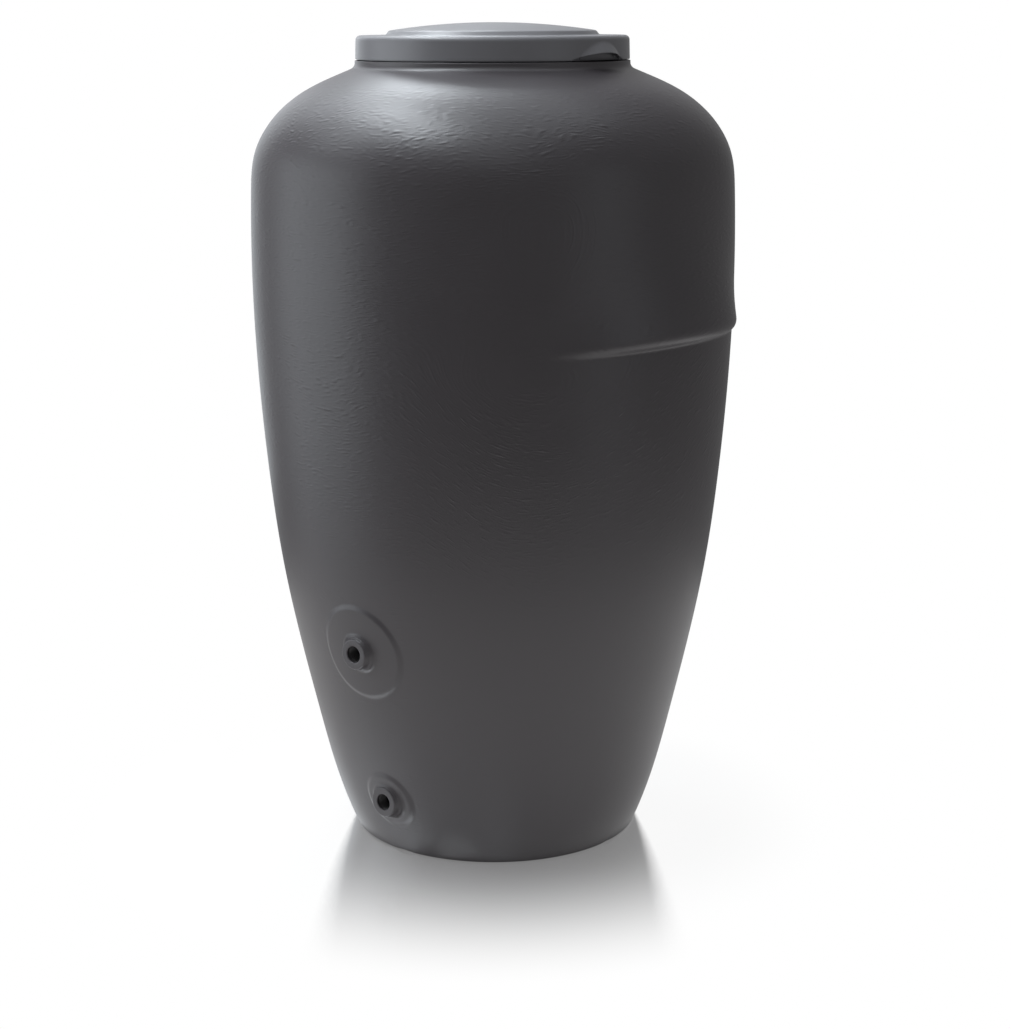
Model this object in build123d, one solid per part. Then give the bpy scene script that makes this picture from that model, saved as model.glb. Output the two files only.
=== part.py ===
from build123d import *
import math
import os

os.makedirs("parts", exist_ok=True)

# Rain barrel of about 350 l, all sizes in millimetres.
# +Z is up, the origin is the centre of the foot on the ground.
# The two tap outlets face -Y. The hand ledges and the lid's finger hoods are at +X and -X.

WALL = 3.8  # blow-moulded skin of the vessel
LID_WALL = 3.5

# Vessel outline, radius against height
FOOT_R = 210  # outer edge of the ground contact
FOOT_INNER_R = 176
BASE_RISE = 14  # the base panel is pushed up clear of the ground
BASE_SLANT = 12  # how far the rise leans in
SIDE_START = (216.5, 4.3)
BELLY = (353.7, 848)
SHOULDER_END = (205.6, 1137.0)
COLLAR_R = 198.8
COLLAR_FOOT = 1146.2
COLLAR_TOP = 1149.4
NECK_R = 180
NECK_TOP = 1178
MOUTH_R = 172

# Lid
LID_BOTTOM = 1150.9
LID_SKIRT_R = 197.9
LID_TOP_R = 197.2
LID_FLANGE_TOP = 1184.6
LID_EDGE_ROUND = 7
DISC_FOOT_R = 154.4
DISC_TOP_R = 149
DISC_TOP = 1191.2
LID_APEX = 1202.6
LOCATING_R = 170.5  # ring under the lid that drops into the mouth

# Bayonet: neck lugs over lid lugs, a quarter turn apart
LUG_COUNT = 4
LUG_SPAN = 24  # degrees
NECK_LUG_R = 186
NECK_LUG_Z = (1162, 1168)
LID_LUG_R = 181.4
LID_LUG_Z = (1153.5, 1159.5)

# Tap outlets, G 3/4 thread at its minor radius
THREAD_R = 12.06
BOSS_R = 22.5
BOSS_ROOT_R = 26.5
TAPS = {
    "lower": {"z": 91, "pad_r": 41.5, "stand": 13.5},
    "upper": {"z": 330, "pad_r": 69, "stand": 15.0},
}
PAD_STEP = 3.0
PAD_FLARE = 7.5  # the pad's rim slopes by this much over 15 mm of height
BUSH_R = 15.5
BUSH_GRIP_R = 18
BUSH_GRIP = 3  # width of a grip ring
BUSH_SET_BACK = 4  # the bush starts this far behind the outlet's face
SLEEVE_R = 21

# Hand ledges
LEDGE_Z = 780  # height of the lip at its middle
LEDGE_OUT = 20  # lip's reach past the wall
LEDGE_RAMP = 120  # height of the ramp over the lip
LEDGE_HALF_SPAN = 38  # degrees
LEDGE_UNDER = 28  # degrees, slope of the underside at its middle
LEDGE_ROUND = 5.5

# Finger hoods on the lid
HOOD_OUT = 14.3
HOOD_RISE = 27.0
HOOD_HALF_SPAN = 18  # degrees
HOOD_ARCH = 10.0
HOOD_WALL = 3.0
HOOD_RECESS_R = 190  # the skirt is set back to here behind each hood
HOOD_POCKET_RISE = 22
HOOD_POCKET_WIDTH = 92

# Seal between the rim of the neck and the lid
SEAL_R = (171.5, 179.5)
SEAL_GAP = 0.2

# Four shallow reliefs under the foot let water drain from under the barrel
RELIEF_COUNT = 4
RELIEF_R = 50
RELIEF_DEPTH = 3


def outline(inset=0.0):
    """Half outline of the vessel as a closed face, x is the radius and y the height, moved in by inset."""
    slant = BASE_SLANT / BASE_RISE
    shift = inset * (math.hypot(1, slant) - slant)
    base = Line((0, BASE_RISE + inset), (FOOT_INNER_R - BASE_SLANT + shift, BASE_RISE + inset))
    rise = Line(base @ 1, (FOOT_INNER_R + shift, inset))
    contact = Line(rise @ 1, (FOOT_R, inset))
    places = [side_curve @ (i / 24) for i in range(25)]
    ways = [side_curve % (i / 24) for i in range(25)]
    moved = [(p.X - w.Y * inset, p.Y + w.X * inset) for p, w in zip(places, ways)]
    side = Spline(*moved, tangents=[(0.44, 1), (-1, 0.42)])
    corner = TangentArc(contact @ 1, side @ 0, tangent=(1, 0))
    collar_r = COLLAR_R - inset
    collar_top = COLLAR_TOP - inset
    neck_top = NECK_TOP - inset
    fillet_arc = TangentArc(side @ 1, (collar_r, COLLAR_FOOT), tangent=(-1, 0.42))
    top = Polyline(
        (collar_r, COLLAR_FOOT),
        (collar_r, collar_top),
        (NECK_R - inset, collar_top),
        (NECK_R - inset, neck_top),
        (0, neck_top),
        (0, BASE_RISE + inset),
    )
    return make_face([base, rise, contact, corner, side, fillet_arc, top])


def spin(face):
    return revolve(Plane.XZ * face, axis=Axis.Z)


# The side of the vessel, foot to neck
side_curve = Spline(
    SIDE_START,
    (241.0, 70),
    (270.9, 184),
    (319.4, 415),
    (336.6, 552),
    BELLY,
    (352.0, 966),
    (345.8, 1018),
    (321.4, 1064),
    (276.0, 1104),
    SHOULDER_END,
    tangents=[(0.44, 1), (-1, 0.42)],
)


def wall_at(z):
    """Radius and inward-going slope of the outside wall at a height."""
    low, high = 0.0, 0.62
    for _ in range(40):
        middle = (low + high) / 2
        if (side_curve @ middle).Y < z:
            low = middle
        else:
            high = middle
    point = side_curve @ low
    along = side_curve % low
    return point.X, math.degrees(math.atan2(along.X, along.Y))


def leaning(section, centre, height, lean):
    """Section spun about an axis through (centre, 0, height) that leans in towards the barrel's axis."""
    return Pos(centre, 0, height) * Rot(0, -lean, 0) * revolve(Plane.XZ * section, axis=Axis.Z)


def lip_circle(wall_r, reach, half_span):
    """Centre and radius of the circle through a lip's middle and the two points where it meets the wall."""
    lip_x = wall_r + reach
    end_x = wall_r * math.cos(math.radians(half_span))
    end_y = wall_r * math.sin(math.radians(half_span))
    centre = (lip_x**2 - end_x**2 - end_y**2) / (2 * (lip_x - end_x))
    return centre, lip_x - centre


def ledge(skin=0.0):
    """Ramp with an arched lip at +X. With a skin it is the hollow that the skin leaves behind the ledge."""
    wall_r, _ = wall_at(LEDGE_Z)
    lean = math.degrees(math.atan2(LEDGE_OUT, LEDGE_RAMP))
    centre, level = lip_circle(wall_r, LEDGE_OUT, LEDGE_HALF_SPAN)
    radius = level * math.cos(math.radians(lean)) - skin
    # where the leaning circle stands over the lip's level
    foot = skin - level * math.sin(math.radians(lean))
    depth = 90
    drop = depth * math.tan(math.radians(LEDGE_UNDER - lean))
    top = foot + LEDGE_RAMP + 50
    section = Polyline(
        (radius - depth, foot - drop),
        (radius, foot),
        (radius, top),
        (radius - depth, top),
        close=True,
    )
    section = make_face(section)
    lip = section.vertices().sort_by(Axis.X)[-2:].sort_by(Axis.Y)[:1]
    section = fillet(lip, max(LEDGE_ROUND - skin, 0.8))
    body = leaning(section, centre, LEDGE_Z, lean)
    outer_half = Pos(450, 0, LEDGE_Z + 20) * Box(400, 600, 260)
    return body & outer_half


def both_sides(shape):
    return shape + Rot(0, 0, 180) * shape


def tap_frame(spec, tilted):
    """Plane on the wall at a tap, its z axis pointing out of the barrel."""
    wall_r, slope = wall_at(spec["z"])
    turn = slope if tilted else 0
    normal = (0, -math.cos(math.radians(turn)), -math.sin(math.radians(turn)))
    return Plane(origin=(0, -wall_r, spec["z"]), x_dir=(1, 0, 0), z_dir=normal)


def pad(spec, raised):
    middle_r = spec["pad_r"] + 1
    tool = tap_frame(spec, True) * Pos(0, 0, 5) * Cone(middle_r + PAD_FLARE, middle_r - PAD_FLARE, 30)
    return raised & tool


def boss(spec):
    depth = spec["stand"] + 12
    body = Cone(BOSS_ROOT_R, BOSS_R, depth)
    body = chamfer(body.edges().sort_by(Axis.Z)[-1:], 0.8)
    return tap_frame(spec, False) * Pos(0, 0, spec["stand"] - depth / 2) * body


def bush_outline(spec):
    """Outside of the threaded bush: a barrel with two grip rings, its inner end just inside the wall."""
    inner_end = -(WALL + 5)
    outer_end = spec["stand"] - BUSH_SET_BACK
    length = outer_end - inner_end
    middle = (outer_end + inner_end) / 2
    body = Pos(0, 0, middle) * Cylinder(BUSH_R, length)
    for place in (0.28, 0.62):
        ring = Pos(0, 0, inner_end + place * length) * Cylinder(BUSH_GRIP_R, BUSH_GRIP)
        body += ring
    return body


def lug_ring(inner, outer, low, high, turn):
    """Ring segments of LUG_SPAN degrees between two radii, spaced evenly."""
    whole = Pos(0, 0, (low + high) / 2) * (Cylinder(outer, high - low) - Cylinder(inner, high - low))
    reach = outer * 2
    half = reach * math.tan(math.radians(LUG_SPAN / 2))
    wedge = extrude(make_face(Polyline((0, 0), (reach, -half), (reach, half), (0, 0))), high + 10)
    lugs = []
    for i in range(LUG_COUNT):
        lugs.append(whole & Rot(0, 0, turn + i * 360 / LUG_COUNT) * wedge)
    return lugs


# Vessel: outside, then the hollow, then the openings
vessel = spin(outline())
raised = spin(outline(-PAD_STEP) & Pos(300, 220) * Rectangle(600, 440))
vessel += both_sides(ledge())
for spec in TAPS.values():
    vessel += pad(spec, raised)
    vessel += boss(spec)

hollow = spin(outline(WALL))
hollow += both_sides(ledge(WALL))
vessel -= hollow
vessel -= Pos(0, 0, NECK_TOP) * Cylinder(MOUTH_R, 40)

bushes = {}
for name, spec in TAPS.items():
    place = tap_frame(spec, False)
    outside = place * bush_outline(spec)
    bore = place * Cylinder(THREAD_R, 90)
    # boss material left behind the wall backs the bush as a short sleeve
    sleeve = place * Pos(0, 0, -6) * Cylinder(SLEEVE_R, 8) & hollow
    vessel += sleeve
    vessel -= outside
    vessel -= bore
    bushes[name] = outside - bore

for i in range(RELIEF_COUNT):
    relief = Pos(205, 0, RELIEF_DEPTH - RELIEF_R) * Rot(0, 90, 0) * Cylinder(RELIEF_R, 80)
    vessel -= Rot(0, 0, i * 360 / RELIEF_COUNT) * relief

for lug in lug_ring(NECK_R - 1, NECK_LUG_R, *NECK_LUG_Z, turn=0):
    vessel += lug


# Lid
def lid_section(inset):
    """Half outline of the lid's outside, or of the space under its skin."""
    skirt_foot = LID_BOTTOM - 20 if inset else LID_BOTTOM  # the space under the skin is open below
    skirt_top = LID_FLANGE_TOP - LID_EDGE_ROUND
    skirt = Line((LID_SKIRT_R - inset, skirt_foot), (LID_TOP_R - inset, skirt_top))
    edge = TangentArc(skirt @ 1, (LID_TOP_R - LID_EDGE_ROUND, LID_FLANGE_TOP - inset), tangent=(0, 1))
    flange = Line(edge @ 1, (DISC_FOOT_R - inset, LID_FLANGE_TOP - inset))
    wall = Line(flange @ 1, (DISC_TOP_R - inset, DISC_TOP - inset))
    span = DISC_TOP_R - inset
    rise = LID_APEX - DISC_TOP
    crown_r = (span**2 + rise**2) / (2 * rise)
    half = math.asin(span / crown_r) / 2
    mid = (crown_r * math.sin(half), LID_APEX - inset - crown_r * (1 - math.cos(half)))
    crown = ThreePointArc(wall @ 1, mid, (0, LID_APEX - inset))
    down = Line((0, LID_APEX - inset), (0, skirt.position_at(0).Y))
    close = Line(down @ 1, skirt @ 0)
    return make_face([skirt, edge, flange, wall, crown, down, close])


def hood(skin=0.0):
    """Eyelid-shaped finger hood at +X: a leaning cylinder over an arch, or the hollow behind its skin."""
    centre, level = lip_circle(LID_SKIRT_R, HOOD_OUT, HOOD_HALF_SPAN)
    lean = math.degrees(math.atan2(HOOD_OUT, HOOD_RISE))
    radius = level * math.cos(math.radians(lean)) - skin
    section = Pos(radius / 2, 0) * Rectangle(radius, 200)
    body = leaning(section, centre, LID_BOTTOM, lean)
    height = LID_FLANGE_TOP - LID_EDGE_ROUND - LID_BOTTOM
    body &= Pos(230, 0, LID_BOTTOM + height / 2) * Box(100, 200, height)
    if skin:
        return body - Pos(0, 0, LID_BOTTOM) * Cylinder(HOOD_RECESS_R, 200)
    body -= Pos(0, 0, LID_BOTTOM) * Cylinder(LID_SKIRT_R - 2, 200)
    end_y = LID_SKIRT_R * math.sin(math.radians(HOOD_HALF_SPAN))
    arch_r = (end_y**2 + HOOD_ARCH**2) / (2 * HOOD_ARCH)
    arch = Pos(200, 0, LID_BOTTOM + HOOD_ARCH - arch_r) * Rot(0, 90, 0) * Cylinder(arch_r, 200)
    return body - (arch - Pos(0, 0, LID_BOTTOM) * Cylinder(LID_SKIRT_R - 0.5, 200))


def skirt_ring(inner, outer, low, high):
    return Pos(0, 0, (low + high) / 2) * (Cylinder(outer, high - low) - Cylinder(inner, high - low))


lid = spin(lid_section(0)) - spin(lid_section(LID_WALL))
lid += skirt_ring(LOCATING_R - 3, LOCATING_R, 1168, LID_FLANGE_TOP - LID_WALL + 0.5)
lid += both_sides(hood())
pocket_top = LID_BOTTOM + HOOD_POCKET_RISE
back = skirt_ring(HOOD_RECESS_R - HOOD_WALL, LID_SKIRT_R - 2, LID_BOTTOM, pocket_top + HOOD_WALL)
back_width = HOOD_POCKET_WIDTH + 2 * HOOD_WALL
lid += both_sides(back & Pos(200, 0, LID_BOTTOM) * Box(60, back_width, 2 * (HOOD_POCKET_RISE + HOOD_WALL)))
pocket = hood(HOOD_WALL) & Pos(230, 0, LID_BOTTOM) * Box(120, HOOD_POCKET_WIDTH, 2 * HOOD_POCKET_RISE)
lid -= both_sides(pocket)
for lug in lug_ring(LID_LUG_R, LID_SKIRT_R - 2, *LID_LUG_Z, turn=45):
    lid += lug

seal = skirt_ring(*SEAL_R, NECK_TOP + SEAL_GAP, LID_FLANGE_TOP - LID_WALL - SEAL_GAP)

nodes = {
    "barrel_shell": vessel,
    "lid": lid,
    "lid_seal": seal,
    "lower_tap_bush": bushes["lower"],
    "upper_tap_bush": bushes["upper"],
}
for name, shape in nodes.items():
    export_step(shape, f"parts/{name}.step")
    box = shape.bounding_box()
    print(name, len(shape.solids()), round(shape.volume / 1000), "cm3", box.min, box.max)
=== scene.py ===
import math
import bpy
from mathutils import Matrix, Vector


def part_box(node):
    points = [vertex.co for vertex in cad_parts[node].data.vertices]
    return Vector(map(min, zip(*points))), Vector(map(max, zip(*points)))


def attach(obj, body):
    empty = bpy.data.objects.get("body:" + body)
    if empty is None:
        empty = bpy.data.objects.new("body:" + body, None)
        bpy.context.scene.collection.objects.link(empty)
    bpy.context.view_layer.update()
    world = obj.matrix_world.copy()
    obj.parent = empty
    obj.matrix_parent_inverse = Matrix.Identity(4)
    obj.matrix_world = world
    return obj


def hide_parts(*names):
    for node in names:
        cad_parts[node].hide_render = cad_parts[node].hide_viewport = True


bl_info = {
    "name": "Rain barrel",
    "version": (1, 0, 0),
    "blender": (4, 5, 0),
    "location": "3D View > Sidebar > Rain barrel",
    "description": "Builds a blow-moulded rain barrel with its lid, seal and tap outlets",
    "category": "Mesh",
}

import bpy
import numpy as np
from mathutils import Matrix, Vector

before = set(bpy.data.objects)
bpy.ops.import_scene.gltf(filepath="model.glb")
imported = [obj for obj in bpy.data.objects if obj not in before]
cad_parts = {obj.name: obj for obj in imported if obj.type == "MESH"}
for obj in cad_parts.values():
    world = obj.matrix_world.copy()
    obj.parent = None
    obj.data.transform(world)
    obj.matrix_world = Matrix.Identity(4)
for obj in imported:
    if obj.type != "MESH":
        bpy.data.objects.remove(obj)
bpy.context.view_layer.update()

# All sizes are metres. +Z is up, the tap outlets face -Y, the hand ledges and finger hoods are at +X and -X.
LID_LOW, LID_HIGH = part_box("lid")
VESSEL_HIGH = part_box("barrel_shell")[1]
SEAL_LOW, SEAL_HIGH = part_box("lid_seal")

# Vessel outline as (radius, height)
SIDE = (
    (0.2165, 0.0043),
    (0.2410, 0.0700),
    (0.2709, 0.1840),
    (0.3194, 0.4150),
    (0.3366, 0.5520),
    (0.3537, 0.8480),
    (0.3520, 0.9660),
    (0.3458, 1.0180),
    (0.3214, 1.0640),
    (0.2760, 1.1040),
    (0.2056, 1.1370),
)
SIDE_FIRST_WAY = (0.44, 1.0)
SIDE_LAST_WAY = (-1.0, 0.42)
FOOT_R = 0.210
FOOT_INNER_R = 0.176
BASE_RISE = 0.014
BASE_SLANT = 0.012
COLLAR_R = 0.1988
COLLAR_FOOT = 1.1462
COLLAR_TOP = 1.1494
NECK_R = 0.180
NECK_TOP = VESSEL_HIGH.z
MOUTH_R = 0.172
NECK_LUG_R = 0.186
NECK_LUG_LOW = 1.162
NECK_LUG_HIGH = 1.168
LUG_SPAN = math.radians(24)
RELIEF_R = 0.050
RELIEF_DEPTH = 0.003

# Hand ledges
LEDGE_Z = 0.780
LEDGE_END = 0.940  # the ramps have died away below this height
LEDGE_HALF_SPAN = math.radians(38)
LEDGE_UNDER = math.radians(28)
# rings of the mesh bend down along a ledge between these heights, and run level again past these angles
RINGS_START_BENDING = (0.62, 0.745)
RINGS_STOP_BENDING = (0.81, 0.95)
RINGS_TURN_LEVEL = (0.70, 1.10)

# Lid
LID_BOTTOM = LID_LOW.z
LID_APEX = LID_HIGH.z
SKIRT_R = 0.1979
SKIRT_TOP_R = 0.1972
FLANGE_TOP = 1.1846
DISC_FOOT_R = 0.1544
DISC_TOP_R = 0.1490
DISC_TOP = 1.1912
LOCATING_R = 0.1705
LOCATING_WALL = 0.003
LOCATING_LOW = 1.168
LID_LUG_R = 0.1814
LID_LUG_LOW = 1.1535
LID_LUG_HIGH = 1.1595
HOOD_HALF_SPAN = math.radians(18)
HOOD_WALL = 0.003
HOOD_RECESS_R = 0.190
POCKET_HALF_WIDTH = 0.046
POCKET_RISE = 0.022

# Tap outlets: height of the axis, radius of the pad, how far the boss stands off the wall
TAPS = {
    "lower": {"z": 0.091, "pad_r": 0.0415, "stand": 0.0135, "block": 0.056},
    "upper": {"z": 0.330, "pad_r": 0.0690, "stand": 0.0150, "block": 0.084},
}
BORE_R = 0.01206
BUSH_R = 0.0155
BUSH_GRIP_R = 0.018
BUSH_GRIP = 0.003
BUSH_GRIPS = (0.62, 0.28)  # where the grip rings are, as shares of the bush's length from its inner end
BUSH_SET_BACK = 0.004
SLEEVE_R = 0.021
SLEEVE_OUT = 0.005
PAD_EDGE = 0.0055
BOSS_FILLET = 0.0055
BORE_EDGE = 0.0012
THREAD_PITCH = 0.001814
THREAD_DEPTH = 0.001162

# Studio lights: angle from the camera's own direction, positive to its right, in degrees; distance and
# height; height aimed at; width and length; power in watts
LIGHTS = (
    ("top", 0, 0.0, 3.4, 0.65, 2.6, 2.6, 25.2),
    ("front_over", 0, 2.0, 2.7, 1.0, 1.1, 1.1, 2.7),
    ("left_over", -90, 2.0, 2.7, 1.0, 1.1, 1.1, 10.9),
    ("back_left_over", -135, 2.0, 2.7, 1.0, 1.1, 1.1, 8.1),
    ("left_front_high", -55, 1.15, 3.04, 1.05, 0.6, 0.4, 17.1),
    ("left_high", -75, 0.97, 3.13, 1.05, 0.6, 0.4, 6.9),
    ("left_back_high", -110, 1.15, 3.04, 1.05, 0.6, 0.5, 22.5),
    ("back_left_high", -155, 1.48, 2.81, 1.05, 0.6, 0.5, 12.8),
    ("back_high", -170, 1.48, 2.81, 1.05, 0.6, 0.5, 12.1),
    ("left_side", -75, 2.7, 0.75, 0.45, 1.1, 2.2, 16.5),
    ("left_back_side", -100, 2.7, 0.70, 0.40, 1.1, 2.2, 15.0),
    ("back_side", -150, 2.7, 0.95, 0.65, 1.1, 2.2, 11.4),
    ("right_side", 50, 2.7, 0.95, 0.65, 1.1, 2.2, 3.8),
)
LIGHT_TINT = (0.89, 0.95, 1.0)
ROOM_GLOW = 0.25
BACKDROP_GLOW = 0.50
# the backdrop: height of its middle over the horizon, and how far round that it is at full and at no strength
BACKDROP_HEIGHT = math.radians(12)
BACKDROP_INNER = math.radians(20)
BACKDROP_OUTER = math.radians(35)

# Camera
CAMERA_TURN = math.radians(39.0)  # the camera stands to the right of the taps
CAMERA_PITCH = math.radians(13.13)
CAMERA_YAW = math.radians(0.308)
CAMERA_ROLL = math.radians(-0.143)

# Leather grain: length of a crease, gap to the next, climb below the ledges, drift of the level
CREASE_LENGTH = 0.015
CREASE_GAP = 0.0042
CREASE_CLIMB = 0.45
CREASE_DRIFT = (0.04, 0.04, 0.07)
# its strength low down, and the heights between which it rises to full and then ends
GRAIN_LOW = 0.12
GRAIN_RISES = (0.36, 0.72)
GRAIN_ENDS = (1.105, 1.130)
# the spot that the creases ring
RING_SPOT_TURN = CAMERA_TURN + math.radians(11)
RING_SPOT_R = 0.353
RING_SPOT_Z = 0.919

# Floor: where it stops mirroring, where it is lit fully from below, its edge, and the slope of its ripples
FLOOR_PLAIN_R = FOOT_R + 0.42
FLOOR_LIT_R = FOOT_R + 0.32
FLOOR_R = 1.25
FLOOR_RIPPLE = 0.10

# How finely the mouldings are meshed
VESSEL_COLUMNS = 264
LID_FINE = math.radians(0.5)
LID_COARSE = math.radians(1.25)
# search for the radius of a leaning surface
NEAREST_R = 0.15
FARTHEST_R = 0.45
HALVINGS = 26


def from_hex(code):
    """Linear colour of an sRGB hex code."""
    parts = [int(code[i : i + 2], 16) / 255 for i in (0, 2, 4)]
    return [c / 12.92 if c <= 0.04045 else ((c + 0.055) / 1.055) ** 2.4 for c in parts]


# ---------------------------------------------------------------- settings


def length(name, description, default):
    return bpy.props.FloatProperty(name=name, description=description, default=default, unit="LENGTH")


def number(name, description, default):
    return bpy.props.FloatProperty(name=name, description=description, default=default)


def paint(name, description, code):
    return bpy.props.FloatVectorProperty(
        name=name, description=description, subtype="COLOR", size=3, default=from_hex(code)
    )


class VesselSettings(bpy.types.PropertyGroup):
    wall: length("Wall", "Thickness of the blown skin", 0.0038)
    ledge_out: length("Ledge reach", "How far a hand ledge stands past the wall", 0.020)
    ledge_ramp: length("Ledge ramp", "Height of the ramp over a ledge's lip", 0.120)
    ledge_round: length("Ledge rounding", "Softness of a ledge's lip", 0.0146)
    pad_step: length("Pad step", "How far a tap's pad is raised off the wall", 0.003)
    grain_depth: length("Grain depth", "Depth of the leather grain of the mould", 0.0007)
    colour: paint("Colour", "Anthracite of the vessel", "3a3639")


class OutletSettings(bpy.types.PropertyGroup):
    boss_r: length("Boss radius", "Radius of a boss at its face", 0.0225)
    boss_root_r: length("Boss root radius", "Radius of a boss at the pad", 0.0262)
    edge_round: length("Edge rounding", "Rounding of the boss's face", 0.0024)
    bush_colour: paint("Bush colour", "Black of the threaded bush", "2b2829")


class LidSettings(bpy.types.PropertyGroup):
    wall: length("Wall", "Thickness of the lid's skin", 0.0035)
    edge_round: length("Edge rounding", "Rounding between skirt and flange", 0.007)
    hood_out: length("Hood reach", "How far a finger hood stands past the skirt", 0.0143)
    hood_rise: length("Hood rise", "Height over which a hood leans back to the skirt", 0.0245)
    hood_arch: length("Hood arch", "Height of the opening under a hood", 0.010)
    colour: paint("Colour", "Grey of the lid", "6a696c")
    seal_colour: paint("Seal colour", "Black of the rubber seal", "1f1f20")


class StageSettings(bpy.types.PropertyGroup):
    floor_colour: paint("Floor", "Colour of the floor", "f4f5f6")
    floor_gloss: number("Floor gloss", "Share of the floor's look that is mirror, at the foot", 0.76)
    floor_glow: number("Floor glow", "Share of the floor's light from below, at the foot", 0.72)
    light_level: number("Light level", "Strength of all the studio lights together", 1.0)
    lens: number("Lens", "Focal length in millimetres on a 36 mm sensor", 74.87)
    distance: length("Distance", "Level distance from the barrel's axis to the camera", 3.158)
    height: length("Height", "Height of the camera over the floor", 1.2121)


# ---------------------------------------------------------------- curves and blends


def smooth_step(low, high, value):
    share = np.clip((value - low) / (high - low), 0, 1)
    return share * share * (3 - 2 * share)


def soft_max(a, b, reach):
    """The larger of two values, blended where they are closer than reach."""
    share = np.clip(0.5 + (a - b) / (2 * reach), 0, 1)
    return b + (a - b) * share + reach * share * (1 - share)


def smooth_curve(points, first_way, last_way, steps):
    """Points along the smooth curve through the given ones, which leaves and arrives as given."""
    p = np.array(points, float)
    gap = np.linalg.norm(np.diff(p, axis=0), axis=1)
    count = len(p)
    system = np.zeros((count, count))
    sides = np.zeros((count, 2))
    system[0, 0] = system[-1, -1] = 1
    sides[0] = np.array(first_way) / np.linalg.norm(first_way)
    sides[-1] = np.array(last_way) / np.linalg.norm(last_way)
    for i in range(1, count - 1):
        before, after = gap[i - 1], gap[i]
        system[i, i - 1 : i + 2] = after, 2 * (before + after), before
        sides[i] = 3 * (after * (p[i] - p[i - 1]) / before + before * (p[i + 1] - p[i]) / after)
    way = np.linalg.solve(system, sides)
    t = np.linspace(0, 1, steps, endpoint=False)[:, None]
    spans = []
    for i in range(count - 1):
        places = (1 + 2 * t) * (1 - t) ** 2 * p[i] + t**2 * (3 - 2 * t) * p[i + 1]
        turns = t * (1 - t) ** 2 * way[i] + t**2 * (t - 1) * way[i + 1]
        spans.append(places + turns * gap[i])
    return np.vstack([*spans, p[-1:]])


def bend(start, corner, end, steps):
    """Points on a rounded corner, its two ends included."""
    t = np.linspace(0, 1, steps)[:, None]
    start, corner, end = (np.array(p, float) for p in (start, corner, end))
    return [tuple(p) for p in (1 - t) ** 2 * start + 2 * t * (1 - t) * corner + t**2 * end]


def line(start, end, steps):
    """Points after the start of a straight run, up to its end."""
    t = np.linspace(0, 1, steps + 1)[1:, None]
    return [tuple(p) for p in np.array(start) * (1 - t) + np.array(end) * t]


def fold(angle):
    """Angle from the nearer of +X and -X, so that what is at one side is at the other too."""
    return np.arctan2(np.sin(angle), np.abs(np.cos(angle)))


def in_sectors(angle, first, span, soft):
    """1 inside the four sectors of the bayonet lugs and 0 outside, with a soft edge."""
    off = np.abs((angle - first + math.pi / 4) % (math.pi / 2) - math.pi / 4)
    return 1 - smooth_step(span / 2 - soft, span / 2 + soft, off)


class Leaning:
    """A cylinder that leans in, so that it stands out at its foot and dies away above.

    Its foot passes through a lip at wall_r + reach and meets the wall at plus and minus half_span."""

    def __init__(self, wall_r, reach, rise, half_span, foot_z):
        lip_x = wall_r + reach
        end_x = wall_r * math.cos(half_span)
        end_y = wall_r * math.sin(half_span)
        self.centre = (lip_x**2 - end_x**2 - end_y**2) / (2 * (lip_x - end_x))
        self.level = lip_x - self.centre
        self.foot_z = foot_z
        self.lean = math.atan2(reach, rise)
        self.radius = self.level * math.cos(self.lean)
        self.foot = -self.level * math.sin(self.lean)

    def inside(self, r, angle, z, skin):
        """Depth inside the cylinder, and height over its foot, at a radius, angle and height."""
        across = r * np.cos(angle) - self.centre
        up = z - self.foot_z
        x = across * math.cos(self.lean) + up * math.sin(self.lean)
        high = up * math.cos(self.lean) - across * math.sin(self.lean)
        return self.radius - skin - np.hypot(x, r * np.sin(angle)), high - self.foot - skin

    def reach_at(self, depth_of, angle, z):
        """Radius at which depth_of(r) falls to nothing."""
        low = np.full(np.broadcast(angle, z).shape, NEAREST_R)
        high = np.full(low.shape, FARTHEST_R)
        for _ in range(HALVINGS):
            middle = (low + high) / 2
            is_in = depth_of(middle) > 0
            low = np.where(is_in, middle, low)
            high = np.where(is_in, high, middle)
        return low

    def lip(self):
        """Angle and height of points along the lip."""
        turn = np.linspace(0, math.radians(75), 60)
        x = self.radius * np.cos(turn) * math.cos(self.lean) - self.foot * math.sin(self.lean)
        z = self.radius * np.cos(turn) * math.sin(self.lean) + self.foot * math.cos(self.lean)
        return np.arctan2(self.radius * np.sin(turn), self.centre + x), self.foot_z + z


# ---------------------------------------------------------------- meshes


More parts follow.
